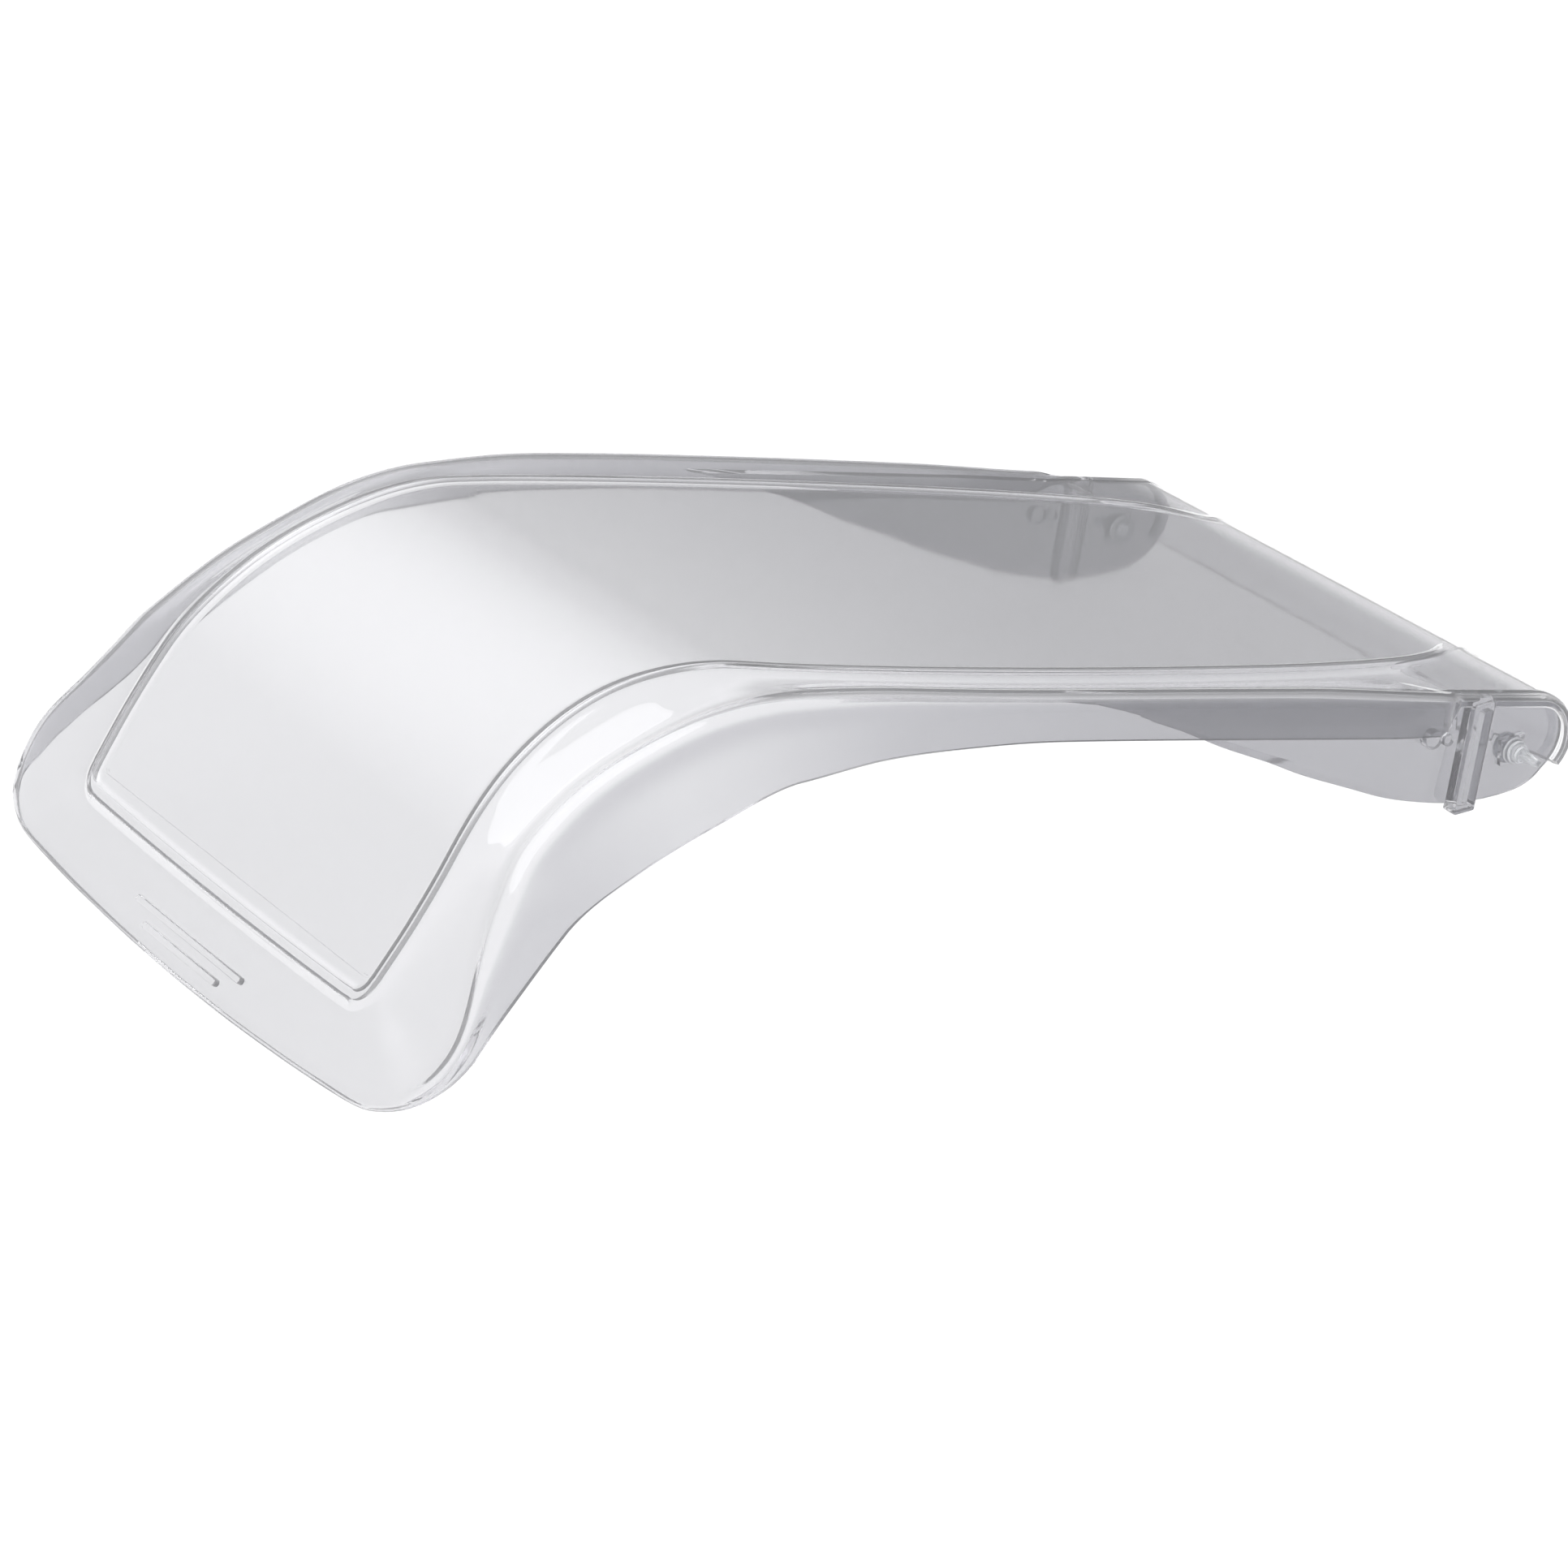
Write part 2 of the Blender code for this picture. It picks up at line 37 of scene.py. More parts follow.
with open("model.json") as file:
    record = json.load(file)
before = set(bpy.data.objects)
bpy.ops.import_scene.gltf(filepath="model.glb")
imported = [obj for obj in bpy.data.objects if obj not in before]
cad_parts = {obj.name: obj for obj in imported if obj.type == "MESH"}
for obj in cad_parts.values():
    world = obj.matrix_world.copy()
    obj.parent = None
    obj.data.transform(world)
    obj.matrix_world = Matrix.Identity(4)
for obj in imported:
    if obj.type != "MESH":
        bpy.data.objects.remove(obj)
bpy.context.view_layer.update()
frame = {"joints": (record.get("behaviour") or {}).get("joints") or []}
HINGE = Vector(next(j for j in frame["joints"] if j["name"] == "guard_hinge")["pos_m"])

MM = 0.001

# ---- the sheet in millimetres: half widths and heights against the distance along it ----
LIP_POINT = (-286.9, 5.6)                   # (Y, Z) of the sheet's front end
PANEL_FRONT = 35.0
PANEL_BOW = 1.5
PANEL_CORNER = 9.0
FIELD_INSET = 1.2                           # a ring of faces round the panel's flat front field
# Rim across the panel's edge: (distance outwards, share of the rim's height).
RIM_STEPS = ((-6.8, 0.0), (-4.2, 0.06), (-2.3, 0.85), (0.0, 1.0), (2.2, 0.9))
RIM_FOOT = (4.1, 6.4)                       # where the rim has mostly and wholly come down to the flange
FOOT_DIP = 0.15
FLANGE_SAG = ((0.33, 0.8), (0.67, 0.6))     # (share of the flange's width, how far it sags)
# The flange's outer edge from its top outwards: thin and flat at the lip, rounded over where a skirt hangs.
LIP_EDGE = ((-9.0, 0.0), (-6.2, 0.1), (-3.6, 0.0), (-1.6, -0.5))
SKIRT_EDGE = ((-7.6, -0.4), (-4.2, -0.1), (-1.4, -1.3), (-0.1, -4.2))
TURN_BY_DEPTH = ((2.0, 0.0), (11.0, 1.0))
SWELL_BY_DEPTH = ((12.0, 1.0), (28.0, 2.3))
HEM_LEAN = ((5, 0.0), (40, 4.0))
RIM_HALF = ((35, 118), (70, 120), (100, 119), (141, 113), (184, 109), (217, 111), (271, 118), (347, 121),
            (428, 120), (514, 115), (571, 107), (600, 98), (622, 84), (662, 84))
FLANGE_HALF = ((40, 180), (70, 171), (97, 163), (118, 156), (160, 151), (200, 151), (250, 154), (313, 158),
               (405, 158), (500, 156), (572, 154))
LIP_OUTLINE = ((0, -4.4), (40, -3.9), (76, -2.6), (109, -0.8), (143, 2.2), (158, 6.5), (170, 14), (177, 25),
               (180, 40), (176.5, 55))
SKIRT_HALF = ((14, 170), (30, 176), (60, 172), (97, 164), (146, 165), (199, 167), (247, 165), (285, 162.5),
              (328, 160), (370, 158), (540, 156), (572, 155))
BEAD_HEIGHT = ((0, -1.5), (40, -3), (100, -3.6), (137, -7.0), (179, -9.0), (219, -5.5), (253, -1.0),
               (288, 1.8), (324, 2.4), (497, 2.6), (556, 1.0), (572, 0.7))
FOOT_HEIGHT = ((0, -1.2), (60, -1.4), (180, -1.6), (260, -1.8), (340, -2.2), (560, -2.2), (572, -1.8))
SKIRT_HEIGHT = ((-5, -3.0), (4, -3.6), (12, -5.6), (20, -9), (30, -13), (60, -20), (97, -31), (146, -39),
                (199, -38), (247, -29), (285, -21.5), (328, -18), (370, -16.5), (540, -16.5), (572, -16))
HEM_CROWN = 0.6                             # how far the hem's middle stands out
RIM_FADE = (596.0, 624.0)                   # where the rim runs out, before the roll
FLANGE_END = (564.0, 578.0)                 # where the flange runs out, beside the strap
REAR_HALF = 149.0                           # half width of the plain sheet behind the flange
REAR_HOOD = 5.0                             # how far its edges turn down
# ---- hinge ends, in millimetres, outlines as (Y, Z) ----
GAP = 0.3                                   # clearance between separate pieces
CHEEK_X = 141.0
CHEEK_WALL = 3.0
CHEEK_TOP = (372.0, 600.0)                  # where along the sheet the cheek's top edge runs straight
CHEEK_SINK = 1.9                            # how deep in the sheet's wall that edge lies
CHEEK_LOWER = ((62, 83.1), (89, 69.1), (109, 57), (134, 43.8), (150, 34.7), (175, 22.5), (192, 14.4),
               (209, 8.3), (226, 3.7), (241, 1.5), (254, 1.1), (263, 1.9), (270, 4.4), (275, 8.2))
STRAP_FOOT_Y = (222.2, 235.2)
STRAP_TOP_Y = (231.8, 245.6)
STRAP_TOP_Z = 49.6
STRAP_DEPTH = 7.0
STRAP_CORNER = 2.2
STRAP_GROOVE = (6.6, 1.3)                   # what stays beside the groove, in front of it and behind it
GROOVE_ENDS = (4.0, 5.0)                    # what stays below and above the groove
GROOVE_FLOOR = 1.5                          # the groove's floor outside the cheek's face
GROOVE_CORNER = 1.2
FLUTE = (0.65, 37.0)                        # radius and length of the three flutes in the groove's floor
FLUTE_PITCH = 1.5
FLUTE_Z = 24.5
PAD_HALF = (8.6, 8.2)
PAD_CORNER = 3.0
PAD_RISE = 2.0
BOSS_PLACES = ((214.0, 36.6, 4.2), (221.6, 34.6, 2.6))      # (Y, Z, radius)
BOSS_MIDDLE = 1.75                          # the boss's middle outside the cheek's face
BOSS_LENGTH = 5.5
BORE_RADIUS = 3.6
PIN_RADIUS = 3.3
PIN_COLLAR_RADIUS = 4.9
PIN_HEAD_RADIUS = 6.2
PIN_TIP_X = 161.0
RING_RADIUS = 5.8
RING_WIDTH = 1.2
RING_ROUND = 0.25
GRIP_RIBS = ((45.0, 12.0), (31.5, 5.2))     # (half length, distance along the sheet)
GRIP_RIB_HALF = 1.5
GRIP_RIB_RISE = 0.7
# ---- how finely the sheet is laid out ----
SIDE_START = 45.0
CORNER_STEPS = 22
CORNER_SIDE_S = 41.0                        # where the corner's fan meets the lip's side and its front
CORNER_FRONT_X = 112.0
FRONT_COLUMNS = tuple(np.linspace(102, 0, 18))
FRONT_FAN = 0.09 / 101                      # columns spread a little towards the corners
PANEL_FRACTIONS = tuple(np.linspace(1, -1, 35))
PER_SPAN = 3                                # points laid between two control points
# ---- finishes and stage ----
# Near white that the cast turns to over the roll at the hinge, in place of the painted shade of the sheet.
ROLL_TINT = "#F8F8F9"
# Painted shade: the grey that walls facing the sides are multiplied by.
SIDE_SHADE_TINT = "#E0E0E2"
CAMERA_PLACE = (1.8524, -1.14954, 0.99744)
CAMERA_TURN = (math.radians(58.340), math.radians(90 - 24.300), math.radians(-0.354))
CAMERA_LENS = 133.47
# Light of the room by the height of the direction: dim below, bright from above eye level.
ROOM_LEVELS = ((0.0, 0.36), (0.2, 0.32), (0.34, 0.42), (0.45, 0.75), (0.60, 1.25), (1.0, 1.1))


def linear(hex_colour):
    """sRGB hex to a linear RGBA colour."""
    value = hex_colour.lstrip("#")
    channels = [int(value[i:i + 2], 16) / 255 for i in (0, 2, 4)]
    return tuple(c / 12.92 if c <= 0.04045 else ((c + 0.055) / 1.055) ** 2.4 for c in channels) + (1.0,)


# ------------------------------------------------------------------ settings


class GuardSizes(bpy.types.PropertyGroup):
    front_slope: bpy.props.FloatProperty(
        name="Front slope", description="Rise of the front part of the sheet",
        default=math.radians(52.12), subtype="ANGLE")
    rear_slope: bpy.props.FloatProperty(
        name="Rear slope", description="Fall of the rear part of the sheet",
        default=math.radians(13.18), subtype="ANGLE")
    front_length: bpy.props.FloatProperty(
        name="Front length", description="Straight front part, along the sheet",
        default=0.0988, unit="LENGTH")
    bend_radius: bpy.props.FloatProperty(
        name="Bend radius", description="Radius of the bend between the two slopes",
        default=0.128, unit="LENGTH")
    rear_length: bpy.props.FloatProperty(
        name="Rear length", description="Straight rear part, along the sheet",
        default=0.3773, unit="LENGTH")
    roll_radius: bpy.props.FloatProperty(
        name="Roll radius", description="Radius of the roll over the hinge",
        default=0.020, unit="LENGTH")
    roll_past: bpy.props.FloatProperty(
        name="Roll past upright", description="How far the roll turns past upright behind the hinge",
        default=math.radians(48), subtype="ANGLE")
    wall: bpy.props.FloatProperty(
        name="Wall", description="Wall thickness of the moulding", default=0.003, unit="LENGTH")
    rim_rise: bpy.props.FloatProperty(
        name="Rim rise", description="Height of the rim round the panel", default=0.00135, unit="LENGTH")


class GuardFinishes(bpy.types.PropertyGroup):
    front_tint: bpy.props.StringProperty(
        name="Front tint", description="Cast of the clear plastic at the lip, sRGB hex", default="#E2E2E4")
    # Painted shade: the darker grey that the clear plastic is painted with at the hinge end.
    rear_shaded_tint: bpy.props.StringProperty(
        name="Rear tint", description="Cast of the clear plastic at the hinge, sRGB hex", default="#C6C6C9")
    pin_tint: bpy.props.StringProperty(
        name="Pin tint", description="Tint of the clear pins, sRGB hex", default="#E4E6E8")
    ring_tint: bpy.props.StringProperty(
        name="Ring tint", description="Tint of the nylon rings, sRGB hex", default="#D0D1D3")
    floor_colour: bpy.props.StringProperty(
        name="Floor colour", description="Colour of the floor, sRGB hex", default="#F7F7F7")


# ------------------------------------------------------------------ the sheet's own coordinates


def smooth(table, s):
    """Smooth curve through the (position, value) pairs of a table, held constant beyond its ends."""
    xs = [p[0] for p in table]
    ys = [p[1] for p in table]
    if s <= xs[0]:
        return float(ys[0])
    if s >= xs[-1]:
        return float(ys[-1])
    i = max(k for k in range(len(xs) - 1) if xs[k] <= s)
    h = xs[i + 1] - xs[i]
    t = (s - xs[i]) / h

    def slope(k):
        if k == 0 or k == len(xs) - 1:
            return 0.0
        return (ys[k + 1] - ys[k - 1]) / (xs[k + 1] - xs[k - 1])

    rise = ys[i + 1] - ys[i]
    return (ys[i] + rise * (3 * t ** 2 - 2 * t ** 3)
            + h * slope(i) * (t ** 3 - 2 * t ** 2 + t) + h * slope(i + 1) * (t ** 3 - t ** 2))


def blend(a, b, t):
    return a + (b - a) * t


class Sheet:
    """Maps (x, distance along the sheet, height above it), in millimetres, to a point in metres."""

    def __init__(self, sizes, lip_point):
        self.angles = (sizes.front_slope, sizes.rear_slope)
        self.bend = sizes.bend_radius / MM
        self.roll = sizes.roll_radius / MM
        self.lip = lip_point
        s1 = sizes.front_length / MM
        s2 = s1 + self.bend * sum(self.angles)
        s3 = s2 + sizes.rear_length / MM
        self.ends = (s1, s2, s3, s3 + self.roll * (math.pi / 2 - sizes.rear_slope + sizes.roll_past))

    def on_profile(self, s, n):
        s1, s2, s3, s4 = self.ends
        y, z = self.lip
        angle = self.angles[0]
        for start, end, radius in ((-1e3, s1, 0.0), (s1, s2, self.bend), (s2, s3, 0.0), (s3, 1e4, self.roll)):
            begin = max(start, 0.0)
            run = min(s, end) - begin
            if run <= 0 and start > -1e3:
                break
            if radius:
                turn = run / radius
                y += radius * (math.sin(angle) - math.sin(angle - turn))
                z += radius * (math.cos(angle - turn) - math.cos(angle))
                angle -= turn
            else:
                y += run * math.cos(angle)
                z += run * math.sin(angle)
        return y - n * math.sin(angle), z + n * math.cos(angle)

    def point(self, x, s, n):
        y, z = self.on_profile(s, n)
        return Vector((x, y, z)) * MM


# ------------------------------------------------------------------ sections of the flange


def flange_section(inner, outer, way, heights, hem, turned_open):
    """Control points from the panel's edge over the rim, across the flange and over its bead to the hem."""
    rim, foot, bead = heights
    dx, ds = way
    steps = [(q, share * rim) for q, share in RIM_STEPS]
    steps += [(RIM_FOOT[0], blend(rim, foot, 0.6)), (RIM_FOOT[1], foot - FOOT_DIP)]
    pts = [(inner[0] + dx * q, inner[1] + ds * q, n) for q, n in steps]
    depth = bead - hem[2]
    turned = smooth(TURN_BY_DEPTH, depth)
    swell = smooth(SWELL_BY_DEPTH, depth)
    edge = []
    for (q0, n0), (q1, n1) in zip(LIP_EDGE, SKIRT_EDGE):
        q = blend(q0, q1 * swell, turned)
        edge.append((outer[0] + dx * q, outer[1] + ds * q, bead + blend(n0, n1 * swell, turned)))
    start, end = pts[-1], edge[0]
    for f, sag in FLANGE_SAG:
        pts.append((blend(start[0], end[0], f), blend(start[1], end[1], f),
                    blend(start[2], end[2], f) - sag * turned * turned_open))
    pts += edge
    last = edge[-1]
    stop = 1.0 - HEM_CROWN / math.dist(last, hem)
    for f in (0.5 * stop, stop):
        pts.append(tuple(blend(a, b, f) for a, b in zip(last, hem)))
    return pts


def rim_height(s, sizes):
    return sizes.rim_rise / MM * (1.0 - smooth(((RIM_FADE[0], 0.0), (RIM_FADE[1], 1.0)), s))


def side_section(s, sizes):
    """Section of a side flange; behind the flange it becomes the plain edge of the rear sheet."""
    past = smooth(((FLANGE_END[0], 0.0), (FLANGE_END[1], 1.0)), s)
    half = blend(smooth(FLANGE_HALF, s), REAR_HALF, past)
    hem = (blend(smooth(SKIRT_HALF, s), REAR_HALF, past), s, blend(smooth(SKIRT_HEIGHT, s), -REAR_HOOD, past))
    heights = (rim_height(s, sizes), smooth(FOOT_HEIGHT, s) * (1 - past), smooth(BEAD_HEIGHT, s) * (1 - past))
    return flange_section((smooth(RIM_HALF, s), s), (half, s), (1.0, 0.0), heights, hem, 1 - past)


def lip_section(inner, outer, facing, sizes):
    """Section at the front or at a corner, where the flange fans out from the panel."""
    reach = math.hypot(outer[0] - inner[0], outer[1] - inner[1])
    mix = (facing[0] + (outer[0] - inner[0]) / reach, facing[1] + (outer[1] - inner[1]) / reach)
    size = math.hypot(*mix)
    way = (mix[0] / size, mix[1] / size)
    lean = smooth(HEM_LEAN, outer[1])
    hem = (outer[0] - way[0] * lean, outer[1] - way[1] * lean, smooth(SKIRT_HEIGHT, outer[1]))
    heights = (rim_height(inner[1], sizes), smooth(FOOT_HEIGHT, inner[1]), smooth(BEAD_HEIGHT, outer[1]))
    return flange_section(inner, outer, way, heights, hem, 1.0), way


class LipEdge:
    """The lip's outer edge from the mid-plane round the corner, read by its run length."""

    STEPS_PER_SPAN = 20
    FRONT_SPANS = 4

    def __init__(self):
        xs = [(j, p[0]) for j, p in enumerate(LIP_OUTLINE)]
        ss = [(j, p[1]) for j, p in enumerate(LIP_OUTLINE)]
        spans = len(LIP_OUTLINE) - 1
        steps = np.linspace(0, spans, self.STEPS_PER_SPAN * spans + 1)
        self.x = np.array([smooth(xs, t) for t in steps])
        self.s = np.array([smooth(ss, t) for t in steps])
        self.run = np.concatenate(([0.0], np.cumsum(np.hypot(np.diff(self.x), np.diff(self.s)))))

    def at(self, length):
        return float(np.interp(length, self.run, self.x)), float(np.interp(length, self.run, self.s))

    def length_at_x(self, x):
        front = slice(self.STEPS_PER_SPAN * self.FRONT_SPANS + 1)
        return float(np.interp(x, self.x[front], self.run[front]))

    def length_at_s(self, s):
        return float(np.interp(s, self.s, self.run))


def ring_sections(sheet, sizes):
    """Sections of the right half in order from the rear end round the corner to the mid-plane."""
    s1, s2, s3, s4 = sheet.ends
    stretches = ((SIDE_START, s1, 14), (s1, s2, 37), (s2, FLANGE_END[0], 72), (*FLANGE_END, 9),
                 (FLANGE_END[1], s3, 13), (s3, s4, 24))
    stations = [SIDE_START]
    for start, end, count in stretches:
        stations += list(np.linspace(start, end, count))[1:]
    out = [(side_section(s, sizes), (1.0, 0.0)) for s in reversed(stations)]
    edge = LipEdge()
    rim_half = smooth(RIM_HALF, PANEL_FRONT)
    centre = (rim_half - PANEL_CORNER, PANEL_FRONT + PANEL_CORNER)
    side_run, front_run = edge.length_at_s(CORNER_SIDE_S), edge.length_at_x(CORNER_FRONT_X)
    for turn in np.linspace(0, math.pi / 2, CORNER_STEPS + 1):
        facing = (math.cos(turn), -math.sin(turn))
        inner = (centre[0] + PANEL_CORNER * facing[0], centre[1] + PANEL_CORNER * facing[1])
        outer = edge.at(blend(side_run, front_run, turn / (math.pi / 2)))
        out.append(lip_section(inner, outer, facing, sizes))
    for x in FRONT_COLUMNS:
        s_in = PANEL_FRONT - PANEL_BOW * (1 - (x / rim_half) ** 2)
        outer = edge.at(edge.length_at_x(x * (1 + FRONT_FAN * x)))
        out.append(lip_section((x, s_in), outer, (0.0, -1.0), sizes))
    return out


# ------------------------------------------------------------------ shared makers


def through(points, per_span):
    """Smooth run of points through control points, evenly many in each span."""
    pts = np.array(points, float)
    out = []
    for i in range(len(pts) - 1):
        p0 = pts[max(i - 1, 0)]
        p1, p2 = pts[i], pts[i + 1]
        p3 = pts[min(i + 2, len(pts) - 1)]
        d01, d12, d23 = (max(np.linalg.norm(b - a), 1e-6) ** 0.5 for a, b in ((p0, p1), (p1, p2), (p2, p3)))
        m1 = (p2 - p1) + d12 * ((p1 - p0) / d01 - (p2 - p0) / (d01 + d12)) if i > 0 else p2 - p1
        m2 = (p2 - p1) + d12 * ((p3 - p2) / d23 - (p3 - p1) / (d12 + d23)) if i < len(pts) - 2 else p2 - p1
        for t in np.arange(per_span) / per_span:
            out.append((2 * t ** 3 - 3 * t ** 2 + 1) * p1 + (t ** 3 - 2 * t ** 2 + t) * m1
                       + (3 * t ** 2 - 2 * t ** 3) * p2 + (t ** 3 - t ** 2) * m2)
    out.append(pts[-1])
    return np.array(out)


def set_back(points, way, wall):
    """A section's inner face: its points moved back by the wall, never running backwards at a tight turn."""
    strides = np.diff(points[:, :2], axis=0) @ np.array(way)
    along = np.concatenate(([0.0], np.cumsum(strides)))
    flat = np.column_stack((along, points[:, 2]))
    step = np.gradient(flat, axis=0)
    step /= np.linalg.norm(step, axis=1)[:, None]
    step[0] = (1.0, 0.0)
    inner = flat + wall * np.column_stack((step[:, 1], -step[:, 0]))
    for k in range(1, len(inner)):
        gain = float((inner[k] - inner[k - 1]) @ step[k])
        if gain < 0.02:
            inner[k] += step[k] * (0.02 - gain)
    shift = inner[:, 0] - flat[:, 0]
    return np.column_stack((points[:, 0] + way[0] * shift, points[:, 1] + way[1] * shift, inner[:, 1]))


def finish_mesh(bm, name, sharp=None):
    """Object from a bmesh, smooth shaded, faces outwards, with edges over an angle kept sharp."""
    bmesh.ops.recalc_face_normals(bm, faces=bm.faces)
    if bm.calc_volume(signed=True) < 0:
        bmesh.ops.reverse_faces(bm, faces=bm.faces)
    for face in bm.faces:
        face.smooth = True
    mesh = bpy.data.meshes.new(name)
    bm.to_mesh(mesh)
    bm.free()
    if sharp is not None:
        mesh.set_sharp_from_angle(angle=math.radians(sharp))
    obj = bpy.data.objects.new(name, mesh)
    bpy.context.scene.collection.objects.link(obj)
    return obj


def combine(base, parts, operation, sharp):
    """Joins or cuts the parts into the base mesh one by one, and removes them."""
    for part in parts:
        mod = base.modifiers.new(operation.lower(), "BOOLEAN")
        mod.operation = operation
        mod.solver = "EXACT"
        mod.object = part
        bpy.context.view_layer.update()
        done = bpy.data.meshes.new_from_object(base.evaluated_get(bpy.context.evaluated_depsgraph_get()))
        base.modifiers.clear()
        base.data = done
        bpy.data.objects.remove(part)
    if len(base.data.vertices) == 0:
        raise RuntimeError(f"{base.name}: {operation} left nothing")
    for polygon in base.data.polygons:
        polygon.use_smooth = True
    base.data.set_sharp_from_angle(angle=math.radians(sharp))
    return base


def round_rims(bm, offset):
    """Rounds the rims of a plate or peg that lies along X."""
    rims = [e for e in bm.edges if abs(e.verts[0].co.x - e.verts[1].co.x) < 1e-7]
    bmesh.ops.bevel(bm, geom=rims, offset=offset * MM, segments=2, profile=0.5, affect="EDGES", material=-1)


def prism(outline, x0, x1, bevel):
    """Plate between two X planes from a (Y, Z) outline in millimetres, its rims rounded by the bevel."""
    bm = bmesh.new()
    for y, z in outline:
        bm.verts.new(Vector((x0, y, z)) * MM)
    face = bmesh.ops.contextual_create(bm, geom=bm.verts)["faces"][0]
    grown = bmesh.ops.extrude_face_region(bm, geom=[face])
    moved = [g for g in grown["geom"] if isinstance(g, bmesh.types.BMVert)]
    bmesh.ops.translate(bm, verts=moved, vec=Vector((x1 - x0, 0, 0)) * MM)
    if bevel:
        round_rims(bm, bevel)
    return bm


def peg(middle, radius, length, sides):
    """Round peg along X about a middle point in millimetres."""
    bm = bmesh.new()
    place = Matrix.Translation(Vector(middle) * MM) @ Matrix.Rotation(math.pi / 2, 4, "Y")
    bmesh.ops.create_cone(bm, cap_ends=True, segments=sides, radius1=radius * MM, radius2=radius * MM,
                          depth=length * MM, matrix=place)
    return bm


def rounded(corners, radius, steps=5):
    """Outline with every corner of a convex (Y, Z) polygon rounded to an arc."""
    out = []
    count = len(corners)
    for i in range(count):
        p = Vector(corners[i])
        a = (Vector(corners[i - 1]) - p).normalized()
        b = (Vector(corners[(i + 1) % count]) - p).normalized()
        half = a.angle(b) / 2
        reach = radius / math.tan(half)
        middle = p + (a + b).normalized() * radius / math.sin(half)
        start, end = p + a * reach - middle, p + b * reach - middle
        for k in range(steps + 1):
            out.append(tuple(middle + start.slerp(end, k / steps)))
    return out


def joined(objects):
    """Several separate closed pieces gathered into the first one's mesh."""
    bm = bmesh.new()
    for obj in objects:
        bm.from_mesh(obj.data)
    bm.to_mesh(objects[0].data)
    bm.free()
    for obj in objects[1:]:
        bpy.data.objects.remove(obj)
    return objects[0]


def spun(profile, side, name, sharp=35, sides=64):
    """Piece turned about the hinge line from (X, radius) steps in millimetres."""
    bm = bmesh.new()
    verts = [bm.verts.new((side * x * MM, HINGE.y + r * MM, HINGE.z)) for x, r in profile]
    edges = [bm.edges.new(pair) for pair in zip(verts, verts[1:])]
    bmesh.ops.spin(bm, geom=verts + edges, cent=HINGE, axis=(1, 0, 0), angle=2 * math.pi, steps=sides,
                   use_merge=True)
    bmesh.ops.remove_doubles(bm, verts=bm.verts, dist=1e-7)
    return finish_mesh(bm, name, sharp)


# ------------------------------------------------------------------ the moulded hood


def laid_grid(bm, rows):
    """A grid with its points laid on the given rows."""
    made = bmesh.ops.create_grid(bm, x_segments=len(rows[0]) - 1, y_segments=len(rows) - 1, size=1.0)
    order = sorted(made["verts"], key=lambda v: (round(v.co.y, 6), v.co.x))
    for vert, place in zip(order, (p for row in rows for p in row)):
        vert.co = place


def border_loops(bm):
    """The open borders of a mesh, each as a list of edges."""
    left = dict.fromkeys(e for e in bm.edges if e.is_boundary)
    loops = []
    while left:
        first = next(iter(left))
        del left[first]
        loop, queue = [], [first]
        while queue:
            edge = queue.pop()
            loop.append(edge)
            for other in (e for vert in edge.verts for e in vert.link_edges):
                if other in left:
                    del left[other]
                    queue.append(other)
        loops.append(loop)
    return loops


def sheet_face(bm, sheet, runs, side_count):
    """One face of the sheet: the flange round three sides, the panel inside it and its flat front field."""
    mirrored = [run * np.array((-1, 1, 1)) for run in reversed(runs[:-1])]
    laid_grid(bm, [[sheet.point(*p) for p in run] for run in runs + mirrored])
    edge = [run[0] for run in runs[:side_count]]
    laid_grid(bm, [[sheet.point(x * f, s, n) for f in PANEL_FRACTIONS] for x, s, n in edge])
    bmesh.ops.remove_doubles(bm, verts=bm.verts, dist=1e-6)
    hole = min(border_loops(bm), key=len)
    field = bmesh.ops.edgeloop_fill(bm, edges=hole)["faces"]
    bmesh.ops.inset_region(bm, faces=field, thickness=FIELD_INSET * MM, use_even_offset=True,
                           use_boundary=True)


def hood_sheet(sizes):
    """The sheet as a closed wall, its hem crowned."""
    sheet = Sheet(sizes, LIP_POINT)
    wall = sizes.wall / MM
    sections = ring_sections(sheet, sizes)
    side_count = len(sections) - CORNER_STEPS - 1 - len(FRONT_COLUMNS)
    outer = [through(controls, PER_SPAN) for controls, _ in sections]
    inner = [set_back(run, way, wall) for run, (_, way) in zip(outer, sections)]
    bm = bmesh.new()
    for runs in (outer, inner):
        sheet_face(bm, sheet, runs, side_count)
    bridge = bmesh.ops.bridge_loops(bm, edges=[e for e in bm.edges if e.is_boundary])
    bmesh.ops.recalc_face_normals(bm, faces=bm.faces)
    across = bmesh.ops.subdivide_edges(bm, edges=bridge["edges"], cuts=1, use_grid_fill=True)
    bm.normal_update()
    for vert in {g for g in across["geom_inner"] if isinstance(g, bmesh.types.BMVert)}:
        vert.co += vert.normal * HEM_CROWN * MM
    return finish_mesh(bm, "guard_hood"), sheet


def cheek_outline(sheet):
    """The cheek's top runs inside the sheet's wall, and its lower edge sweeps down to a round heel."""
    _, _, s3, s4 = sheet.ends
    stations = list(np.linspace(*CHEEK_TOP, 20)) + list(np.linspace(s3, s4 - 1.5, 16))
    top = [sheet.on_profile(s, -CHEEK_SINK) for s in reversed(stations)]
    return top + [tuple(p) for p in through(CHEEK_LOWER, 5)]


